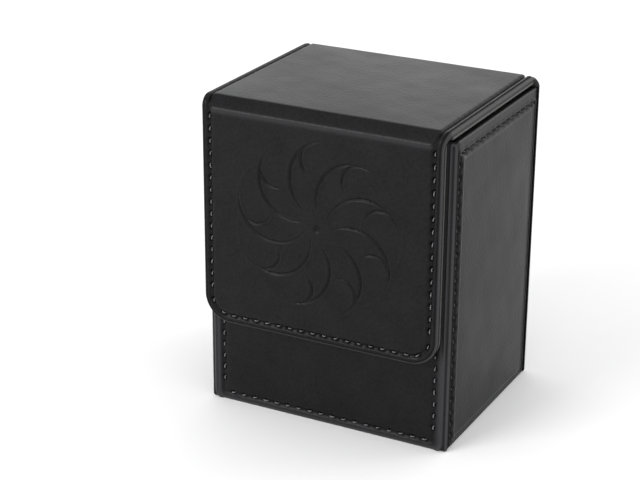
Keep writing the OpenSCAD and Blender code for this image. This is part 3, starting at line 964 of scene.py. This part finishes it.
class DeckBoxOrnament(PropertyGroup):
    """Pressed whirl on the flap."""

    arms: IntProperty(name="Arms", description="Number of long crescents", default=9, min=5, max=12)
    radius: FloatProperty(
        name="Radius", description="Radius of the whirl",
        default=28.4 * MM, min=10 * MM, max=34 * MM, unit="LENGTH", precision=4
    )
    centre_height: FloatProperty(
        name="Height", description="Height of the whirl's centre",
        default=67.6 * MM, min=50 * MM, max=80 * MM, unit="LENGTH", precision=4
    )
    groove_width: FloatProperty(
        name="Groove width", description="Greatest width of a crescent",
        default=1.3 * MM, min=0.6 * MM, max=3 * MM, **LENGTH
    )
    depth: FloatProperty(
        name="Depth", description="Depth that the whirl is pressed in",
        default=0.42 * MM, min=0, max=0.5 * MM, **LENGTH
    )
    wall: FloatProperty(
        name="Wall", description="Width of a crescent's sloping wall",
        default=0.65 * MM, min=0.1 * MM, max=1 * MM, **LENGTH
    )
    lip: FloatProperty(
        name="Lip", description="Height of the lip beside a crescent",
        default=0.09 * MM, min=0, max=0.3 * MM, **LENGTH
    )


class DeckBoxStage(PropertyGroup):
    """Camera, floor and light."""

    azimuth: FloatProperty(
        name="Azimuth", description="Camera's bearing from the front",
        default=math.radians(27.476), subtype="ANGLE"
    )
    elevation: FloatProperty(
        name="Elevation", description="Camera's height above level",
        default=math.radians(21.841), subtype="ANGLE"
    )
    roll: FloatProperty(
        name="Roll", description="Camera's tilt about its own line of sight",
        default=math.radians(0.389), subtype="ANGLE"
    )
    distance: FloatProperty(
        name="Distance", description="Camera's distance from the target",
        default=0.5861, unit="LENGTH"
    )
    target: FloatVectorProperty(
        name="Target", description="Point that the camera looks at",
        default=(-0.01863, 0, 0.04821), subtype="XYZ", unit="LENGTH"
    )
    lens: FloatProperty(name="Lens", description="Focal length in millimetres", default=101.0)
    back_light: FloatProperty(
        name="Back light", description="Power of the softbox behind",
        default=6.5, unit="POWER"
    )
    top_light: FloatProperty(
        name="Top light", description="Power of the softbox above",
        default=3.0, unit="POWER"
    )
    front_light: FloatProperty(
        name="Front light", description="Power of the softbox in front",
        default=5.0, unit="POWER"
    )
    right_light: FloatProperty(
        name="Right light", description="Power of the softbox at the right",
        default=1.6, unit="POWER"
    )
    ambient: FloatProperty(name="Ambient", description="Strength of the room's own light", default=0.9)


# ---------- operators ----------


class DECKBOX_OT_flap(Operator):
    """Build the flap: its padded cover with the pressed whirl, and the lining behind it"""

    bl_idname = "deck_box.flap"
    bl_label = "Flap"

    def execute(self, context):
        ornament = context.scene.deck_box_ornament
        middle, reach = (ON_FLAP[0] + ON_FLAP[3]) / 2, ornament.radius + MM
        up, down = ornament.centre_height + reach, ornament.centre_height - reach
        fine = ((FLAP_END - 2 * MM, FLAP_END + 5.5 * MM), (down, up), (FOLD_Z - 3 * MM, FOLD_Z))
        cover = strip_piece(
            "flap_cover",
            FLAP_END,
            FOLD_Z,
            ["flap_stitches"],
            fine,
            (0, 1),
            extra=pressed_ornament,
            extra_bands=((middle - reach, middle + reach),),
            corner=FLAP_CORNER,
            fine=0.27 * MM,
        )
        finish_piece(cover, leather_pair(), ["flap_skin", "flap_padding"], "flap")

        inner_level = high("flap_lining", Y)
        border_level = FLAP_Y + context.scene.deck_box_leather.cover_thickness + 1.5 * MM
        bed = FlatBed(border_level, (1, 0, 0), (0, 0, 1), (0, 1, 0))
        rise = inner_level - border_level
        border, inset, edge_depth = 3.4 * MM, 0.12 * MM, 1.45 * MM
        field = ((ON_FLAP[0] + border, FLAP_END + border), (ON_FLAP[3] - border, 1))

        def relief(a, b):
            inside = -outline_distance(a, b, field, FLAP_CORNER - border)
            return np.minimum(rise, 0) * smooth(inside / (1.6 * MM)), np.zeros(a.shape)

        fine_b = (near_ends(FLAP_END, FOLD_Z, 6 * MM)[0],)
        lining = sheet_mesh(
            "flap_inner",
            bed,
            (ON_FLAP[0] + inset, ON_FLAP[3] - inset),
            (FLAP_END + inset, FOLD_Z),
            corner=FLAP_CORNER - 0.1 * MM,
            roll=0.5 * MM,
            turn=(edge_depth,) * 4,
            relief=relief,
            grid=(near_ends(ON_FLAP[0], ON_FLAP[3], 6 * MM), fine_b, 0.3 * MM, 3 * MM),
            open_ends=(0, 1),
        )
        finish_piece(lining, lining_pair(), ["flap_lining"], "flap")
        return {"FINISHED"}


class DECKBOX_OT_lid(Operator):
    """Build the lid: its padded cover with two deep grooves, and the lining under it"""

    bl_idname = "deck_box.lid"
    bl_label = "Lid"

    def execute(self, context):
        fine = near_ends(LID_START, LID_END, MM, 0)
        cover = strip_piece(
            "lid_cover", LID_START, LID_END, ["lid_stitches"], fine, (1, 1), coarse_b=0.5 * MM
        )
        finish_piece(cover, leather_pair(), ["lid_skin", "lid_padding"], "lid")

        under = LID_Z - context.scene.deck_box_leather.cover_thickness - 1.0 * MM
        bed = FlatBed(-under, (1, 0, 0), (0, 1, 0), (0, 0, -1))
        drop = under - low("lid_lining", Z)
        border = 1.2 * MM
        field = ((ON_BACK[1], -FOLD_Y + border), (ON_BACK[2], FOLD_Y - border))

        def relief(a, b):
            inside = -outline_distance(a, b, field, 2 * MM)
            return drop * smooth(inside / (1.4 * MM)), np.zeros(a.shape)

        fine_a = ((ON_BACK[0] - MM, ON_BACK[1] + 3 * MM), (ON_BACK[2] - 3 * MM, ON_BACK[3] + MM))
        lining = sheet_mesh(
            "lid_inner",
            bed,
            (ON_BACK[0] + 0.1 * MM, ON_LID[3] + 0.15 * MM),
            (-FOLD_Y, FOLD_Y),
            corner=0.6 * MM,
            roll=0.45 * MM,
            turn=(0.96 * MM,) * 4,
            relief=relief,
            grid=(fine_a, near_ends(-FOLD_Y, FOLD_Y, 3 * MM, 0), 0.3 * MM, 3 * MM),
            open_ends=(1, 1),
            # Only a faint painted highlight and wear on this lining's turned edges
            edge_wear_and_highlight=0.1,
        )
        finish_piece(lining, lining_pair(), ["lid_lining"], "lid")
        return {"FINISHED"}


class DECKBOX_OT_bends(Operator):
    """Build the two soft bends: lid to flap, and case to lid"""

    bl_idname = "deck_box.bends"
    bl_label = "Bends"

    def execute(self, context):
        front = strip_piece("front_bend", FOLD_Z, LID_START, ["flap_stitches", "lid_stitches"],
                            ((FOLD_Z, LID_START),), (1, 1))
        finish_piece(front, [leather_pair()[0], lining_pair()[0]], ["flap_hinge_fold"])
        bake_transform(front)

        back = strip_piece("back_bend", LID_END, BACK_START, ["lid_stitches", "back_stitches"],
                           ((LID_END, BACK_START),), (1, 1))
        finish_piece(back, [leather_pair()[0], lining_pair()[0]], ["back_hinge_fold"])
        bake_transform(back)
        return {"FINISHED"}


class DECKBOX_OT_back(Operator):
    """Build the back: the cover strip's last length, down to the foot"""

    bl_idname = "deck_box.back"
    bl_label = "Back"

    def execute(self, context):
        foot = BACK_END - 0.05 * MM
        fine = ((BACK_START, BACK_START + MM), (BACK_END - 3 * MM, BACK_END))
        cover = strip_piece(
            "back_cover", BACK_START, foot, ["back_stitches"], fine, (1, 0), coarse_b=0.6 * MM
        )
        finish_piece(cover, leather_pair(), ["back_skin", "back_padding"], "case")
        return {"FINISHED"}


class DECKBOX_OT_front(Operator):
    """Build the front wall's plain cover, turned over the tray's rim"""

    bl_idname = "deck_box.front"
    bl_label = "Front wall"

    def execute(self, context):
        look = context.scene.deck_box_leather
        sewing = context.scene.deck_box_stitching
        level = low("front_skin", Y)
        bed = FlatBed(-level, (1, 0, 0), (0, 0, 1), (0, -1, 0))
        edge = high("front_skin", X)
        seam_x = high("front_stitches", X) - HALF_THREAD
        seam_z = low("front_stitches", Z) + HALF_THREAD
        lines = ((-seam_x, seam_z), (seam_x, 1))

        def relief(a, b):
            seam = outline_distance(a, b, lines, 0.3 * MM)
            swell, waviness, welt, ridge_height = 0.12 * MM, 0.02 * MM, 0.22 * MM, 0.6 * MM
            height = -sewing.trench_depth * 0.8 * bell(seam, sewing.trench_width)
            height += swell * smooth(-seam / (2 * MM))
            # The border stands up in a welt and a ridge, over the turned edge of the board beneath
            ridge = bell(seam - 3.0 * MM, 0.4 * MM)
            height += welt * bell(seam - 1.4 * MM, 0.6 * MM) + ridge_height * ridge
            height += waver(a, b, waviness) * smooth(-seam / (5 * MM))
            marks, dark = seam_marks(bed, ["front_stitches"], a, b, seam)
            # Painted highlight on the ridge and on the strip that the flap closes on
            painted_highlight = np.maximum(0.75 * ridge, 0.5 * bell(seam - 2.2 * MM, 0.9 * MM))
            return height + marks, dark - painted_highlight

        rim = high("front_skin", Y) - level
        fine_b = ((-MM, seam_z + 2 * MM), (RIM_Z - MM, RIM_Z + 3 * MM))
        piece = sheet_mesh(
            "front_cover",
            bed,
            (-edge, edge),
            (low("front_skin", Z), RIM_Z),
            corner=0.9 * MM,
            roll=look.roll + 0.1 * MM,
            turn=(0.82 * MM,) * 3 + (rim,),
            relief=relief,
            grid=(near_ends(-edge, edge, edge - seam_x + 2 * MM), fine_b, 0.32 * MM, 1.2 * MM),
            back=0.7 * MM,
        )
        finish_piece(piece, leather_pair(), ["front_skin"], "case")
        return {"FINISHED"}


class DECKBOX_OT_sides(Operator):
    """Build the two padded side walls, sewn along three edges"""

    bl_idname = "deck_box.sides"
    bl_label = "Side walls"

    def execute(self, context):
        for side, name in ((1, "right"), (-1, "left")):
            self.wall(context, side, name)
        return {"FINISHED"}

    def wall(self, context, side, name):
        """One side wall's cover: side is 1 for the right one and -1 for the left."""
        look = context.scene.deck_box_leather
        padding = context.scene.deck_box_padding
        skin, sewn = name + "_skin", name + "_stitches"
        outer = high(skin, X) if side > 0 else -low(skin, X)
        inner = low(skin, X) if side > 0 else -high(skin, X)
        level = outer - PAD
        bed = FlatBed(level, (0, 1, 0), (0, 0, 1), (side, 0, 0))
        front, back = low(skin, Y) + 0.12 * MM, high(skin, Y)
        front_seam, back_seam = low(sewn, Y) + HALF_THREAD, high(sewn, Y) - HALF_THREAD
        seams = ((front_seam, -1), (back_seam, high(sewn, Z) - HALF_THREAD))
        foot = low(skin, Z) + 1.6 * MM  # where the padding ends
        fine_b = ((-MM, foot + 2 * MM), (RIM_Z - 7 * MM, RIM_Z + 3 * MM))

        def relief(a, b):
            seam = outline_distance(a, b, seams, 0.3 * MM)
            height = padded_relief(seam, 1.5 * MM)
            field = smooth(-seam / (6 * MM))
            # The padding stops short of the foot
            height *= np.where(seam < 0, 0.45 + 0.55 * smooth((b - foot) / (1.2 * MM)), 1)
            swell_a = 1 - ((a - (front + back) / 2) / (32 * MM)) ** 2
            swell_b = np.sin(np.clip(b / RIM_Z, 0, 1) * math.pi) ** 0.8
            height += padding.crown * swell_a * swell_b * field
            height += waver(b, a, padding.unevenness) * field
            # The padding is bunched up beside the seam, and the stitches cut the bunch into
            # scallops: deeper ones down the front, where the border lies in the flap's shadow
            past_front = front_seam - a
            at_front = bell(np.maximum(-past_front - 2 * MM, 0), 1.2 * MM)
            bunched = bell(seam + (1.1 + 0.3 * at_front) * MM, 0.5 * MM)
            height += padding.bunch * bunched * (0.6 + 0.7 * at_front)
            marks, dark = seam_marks(bed, [sewn], a, b, seam, 1.15)
            scallop = bunched * smooth(1 + marks / (0.15 * MM))
            # Painted shade in the needle holes, and a painted highlight on the scallops, strongest down
            # the front
            tone = dark * (0.55 + 0.45 * at_front) - (0.25 + 0.7 * at_front) * scallop
            # Painted shade on the border strip in front of the front seam, where the flap's shadow falls
            tone += 0.4 * smooth(past_front / (0.5 * MM)) * (seam > 0)
            return height + (0.7 + 1.0 * at_front) * marks, np.clip(tone, -1, 1)

        piece = sheet_mesh(
            name + "_cover",
            bed,
            (front, back),
            (low(skin, Z), RIM_Z),
            corner=1.0 * MM,
            roll=look.roll,
            turn=(0.8 * MM,) * 3 + (level - inner,),
            relief=relief,
            grid=(near_ends(front, back, 4.5 * MM), fine_b, 0.32 * MM, 1.2 * MM),
            back=0.7 * MM,
        )
        finish_piece(piece, leather_pair(), [skin, name + "_padding"], "case")


class DECKBOX_OT_base(Operator):
    """Build the base cover, whose turned edge shows as a thin line along the foot"""

    bl_idname = "deck_box.base"
    bl_label = "Base"

    def execute(self, context):
        bed = FlatBed(-low("base_skin", Z), (1, 0, 0), (0, 1, 0), (0, 0, -1))
        edge = high("base_skin", X)
        front, back = low("base_skin", Y), high("base_skin", Y)
        piece = sheet_mesh(
            "base_cover",
            bed,
            (-edge, edge),
            (front, back),
            corner=0.9 * MM,
            roll=0.4 * MM,
            turn=(0.75 * MM,) * 4,
            relief=even_relief(0.01 * MM, 0.03 * MM),
            grid=(near_ends(-edge, edge, MM), near_ends(front, back, MM), 0.2 * MM, 3 * MM),
        )
        finish_piece(piece, leather_pair(), ["base_skin"], "case")
        return {"FINISHED"}


class DECKBOX_OT_tray(Operator):
    """Build the tray's five linings, turned over the rim"""

    bl_idname = "deck_box.tray"
    bl_label = "Tray linings"

    def execute(self, context):
        floor_z = low("front_lining", Z)
        half_x, half_y = -low("front_lining", X), high("front_lining", Y)
        front_out, front_in = low("front_lining", Y), high("front_lining", Y)
        back_in, back_out = low("back_lining", Y), high("back_lining", Y)
        side_in, side_out = low("right_lining", X), high("right_lining", X)
        self.wall("front_lining", FlatBed(front_in, (1, 0, 0), (0, 0, 1), (0, 1, 0)),
                  (-half_x, half_x), floor_z, front_in - front_out)
        # The side linings run on past the front and back ones, and cover the rim's corners; past
        # their ends the back lining spreads out over the back board
        ends = (low("right_lining", Y), high("right_lining", Y))
        back_bed = RimBed(-back_in, (1, 0, 0), (0, 0, 1), (0, -1, 0), ends[1] - back_in, side_out / half_x)
        self.wall("back_lining", back_bed, (-half_x, half_x), floor_z, back_out - back_in)
        self.wall("right_lining", FlatBed(-side_in, (0, 1, 0), (0, 0, 1), (-1, 0, 0)),
                  ends, floor_z, side_out - side_in)
        self.wall("left_lining", FlatBed(-side_in, (0, 1, 0), (0, 0, 1), (1, 0, 0)),
                  ends, floor_z, side_out - side_in)
        bed = FlatBed(high("base_lining", Z), (1, 0, 0), (0, 1, 0), (0, 0, 1))
        floor = sheet_mesh(
            "base_lining_cloth",
            bed,
            (low("base_lining", X), high("base_lining", X)),
            (low("base_lining", Y), high("base_lining", Y)),
            corner=0.6 * MM,
            roll=0.4 * MM,
            turn=(0.65 * MM,) * 4,
            relief=even_relief(0.03 * MM, 0.05 * MM),
            grid=((), (), 0.5 * MM, 2.5 * MM),
        )
        finish_piece(floor, lining_pair(), ["base_lining"], "case")
        return {"FINISHED"}

    def wall(self, name, bed, across, floor_z, rim):
        """One wall's lining, from the floor up and over the rim."""
        piece = sheet_mesh(
            name + "_cloth",
            bed,
            across,
            (floor_z, RIM_Z),
            corner=0.8 * MM,
            roll=0.75 * MM,
            turn=(0.8 * MM,) * 3 + (rim,),
            relief=even_relief(0.03 * MM, 0.04 * MM),
            grid=(near_ends(*across, MM), ((RIM_Z - 2 * MM, RIM_Z + 6 * MM),), 0.3 * MM, 2.5 * MM),
            back=0.6 * MM,
        )
        finish_piece(piece, lining_pair(), [name], "case")


class DECKBOX_OT_threads(Operator):
    """Sew every seam with twisted thread: pale on front and flap, black elsewhere"""

    bl_idname = "deck_box.threads"
    bl_label = "Threads"

    def execute(self, context):
        front = FlatBed(0, (1, 0, 0), (0, 0, 1), (0, -1, 0))
        right = FlatBed(0, (0, 1, 0), (0, 0, 1), (1, 0, 0))
        left = FlatBed(0, (0, 1, 0), (0, 0, 1), (-1, 0, 0))
        groove = context.scene.deck_box_padding.lid_groove
        seams = (
            ("flap", STRIP, "flap", pale_thread(), 0.1 * MM),
            ("lid", STRIP, "lid", black_thread(), groove),
            ("back", STRIP, "case", black_thread(), groove),
            ("front", front, "case", pale_thread(), 0),
            ("right", right, "case", black_thread(), 0),
            ("left", left, "case", black_thread(), 0),
        )
        for name, bed, body, material, sunk in seams:
            node_name = name + "_stitches"
            piece = thread_rope(name + "_thread", node_name, bed, sunk)
            finish_piece(piece, [material], [node_name], body)
        return {"FINISHED"}


class DECKBOX_OT_boards(Operator):
    """Finish the parts that stay as they are in the frame: boards and magnets"""

    bl_idname = "deck_box.boards"
    bl_label = "Boards and magnets"

    def execute(self, context):
        finishes = {"_board": shared(greyboard, "greyboard_pressed"),
                    "_magnets": shared(nickel_plate, "nickel_barrel_plated")}
        for name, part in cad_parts.items():
            for ending, material in finishes.items():
                if name.endswith(ending):
                    part.data.materials.clear()
                    part.data.materials.append(material)
        return {"FINISHED"}


class DECKBOX_OT_stage(Operator):
    """Set the camera, the floor and the softboxes"""

    bl_idname = "deck_box.stage"
    bl_label = "Stage"

    def execute(self, context):
        look = context.scene.deck_box_stage
        self.camera(context, look)
        self.floor(context)
        middle = (0, 0, 0.05)
        softboxes = (
            ("back_softbox", (0.0, 1.3, 0.42), middle, (3.4, 0.8), look.back_light),
            ("top_softbox", (0.3, 0.1, 1.5), (0, 0, 0), (1.4, 1.4), look.top_light),
            ("front_softbox", (-0.42, -0.8, 0.5), middle, (0.5, 0.28), look.front_light),
            ("right_softbox", (0.9, 0.75, 0.55), middle, (0.4, 0.4), look.right_light),
        )
        for softbox in softboxes:
            self.softbox(context, *softbox)
        world = bpy.data.worlds.new("studio")
        world.use_nodes = True
        world.node_tree.nodes["Background"].inputs["Color"].default_value = (1, 1, 1, 1)
        world.node_tree.nodes["Background"].inputs["Strength"].default_value = look.ambient
        context.scene.world = world
        context.scene.view_settings.view_transform = "Standard"
        return {"FINISHED"}

    def camera(self, context, look):
        """The camera, from its bearing, height and tilt."""
        az, el = look.azimuth, look.elevation
        back = Vector((math.sin(az) * math.cos(el), -math.cos(az) * math.cos(el), math.sin(el)))
        right = Vector((math.cos(az), math.sin(az), 0))
        up = back.cross(right)
        tilted_right = right * math.cos(look.roll) + up * math.sin(look.roll)
        tilted_up = up * math.cos(look.roll) - right * math.sin(look.roll)
        data = bpy.data.cameras.new("camera")
        data.lens, data.sensor_width = look.lens, 36
        data.clip_start = 0.01
        data.dof.use_dof = False
        camera = bpy.data.objects.new("camera", data)
        turn = Matrix((tilted_right, tilted_up, back)).transposed().to_4x4()
        camera.matrix_world = Matrix.Translation(Vector(look.target) + back * look.distance) @ turn
        context.scene.collection.objects.link(camera)
        context.scene.camera = camera

    def floor(self, context):
        """A wide pale floor, level with the box's foot."""
        half = 4.0
        points = np.array([(-half, -half, 0), (half, -half, 0), (half, half, 0), (-half, half, 0)])
        floor = build("floor", points, [[0, 1, 2, 3]])
        floor.data.materials.append(painted_floor())

    def softbox(self, context, name, place, target, size, power):
        """One rectangular light that looks at a point."""
        data = bpy.data.lights.new(name, "AREA")
        data.shape = "RECTANGLE"
        data.size, data.size_y = size
        data.energy = power
        light = bpy.data.objects.new(name, data)
        light.location = place
        light.rotation_euler = (Vector(target) - Vector(place)).to_track_quat("-Z", "Y").to_euler()
        context.scene.collection.objects.link(light)


class DECKBOX_PT_panel(Panel):
    """Lists the deck box's pieces."""

    bl_label = "Deck box"
    bl_idname = "DECKBOX_PT_panel"
    bl_space_type = "VIEW_3D"
    bl_region_type = "UI"
    bl_category = "Deck box"

    def draw(self, context):
        """Draws a button for every piece, and the settings below them."""
        for operator in OPERATORS:
            self.layout.operator(operator.bl_idname)
        for name in SETTINGS:
            group = getattr(context.scene, name)
            box = self.layout.box()
            for key in group.__annotations__:
                box.prop(group, key)


OPERATORS = (
    DECKBOX_OT_stage,
    DECKBOX_OT_flap,
    DECKBOX_OT_bends,
    DECKBOX_OT_lid,
    DECKBOX_OT_back,
    DECKBOX_OT_front,
    DECKBOX_OT_sides,
    DECKBOX_OT_base,
    DECKBOX_OT_tray,
    DECKBOX_OT_threads,
    DECKBOX_OT_boards,
)
SETTINGS = {
    "deck_box_leather": DeckBoxLeather,
    "deck_box_stitching": DeckBoxStitching,
    "deck_box_padding": DeckBoxPadding,
    "deck_box_ornament": DeckBoxOrnament,
    "deck_box_stage": DeckBoxStage,
}


def register():
    """Registers the settings, the operators and the panel."""
    for group in SETTINGS.values():
        bpy.utils.register_class(group)
    for operator in OPERATORS + (DECKBOX_PT_panel,):
        bpy.utils.register_class(operator)
    for name, group in SETTINGS.items():
        setattr(bpy.types.Scene, name, PointerProperty(type=group))


def unregister():
    """Takes the settings, the operators and the panel away again."""
    for name in SETTINGS:
        delattr(bpy.types.Scene, name)
    for operator in reversed(OPERATORS + (DECKBOX_PT_panel,)):
        bpy.utils.unregister_class(operator)
    for group in reversed(list(SETTINGS.values())):
        bpy.utils.unregister_class(group)


def main():
    """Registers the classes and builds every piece."""
    register()
    for operator in OPERATORS:
        group, name = operator.bl_idname.split(".")
        getattr(getattr(bpy.ops, group), name)()


if __name__ == "__main__":
    main()
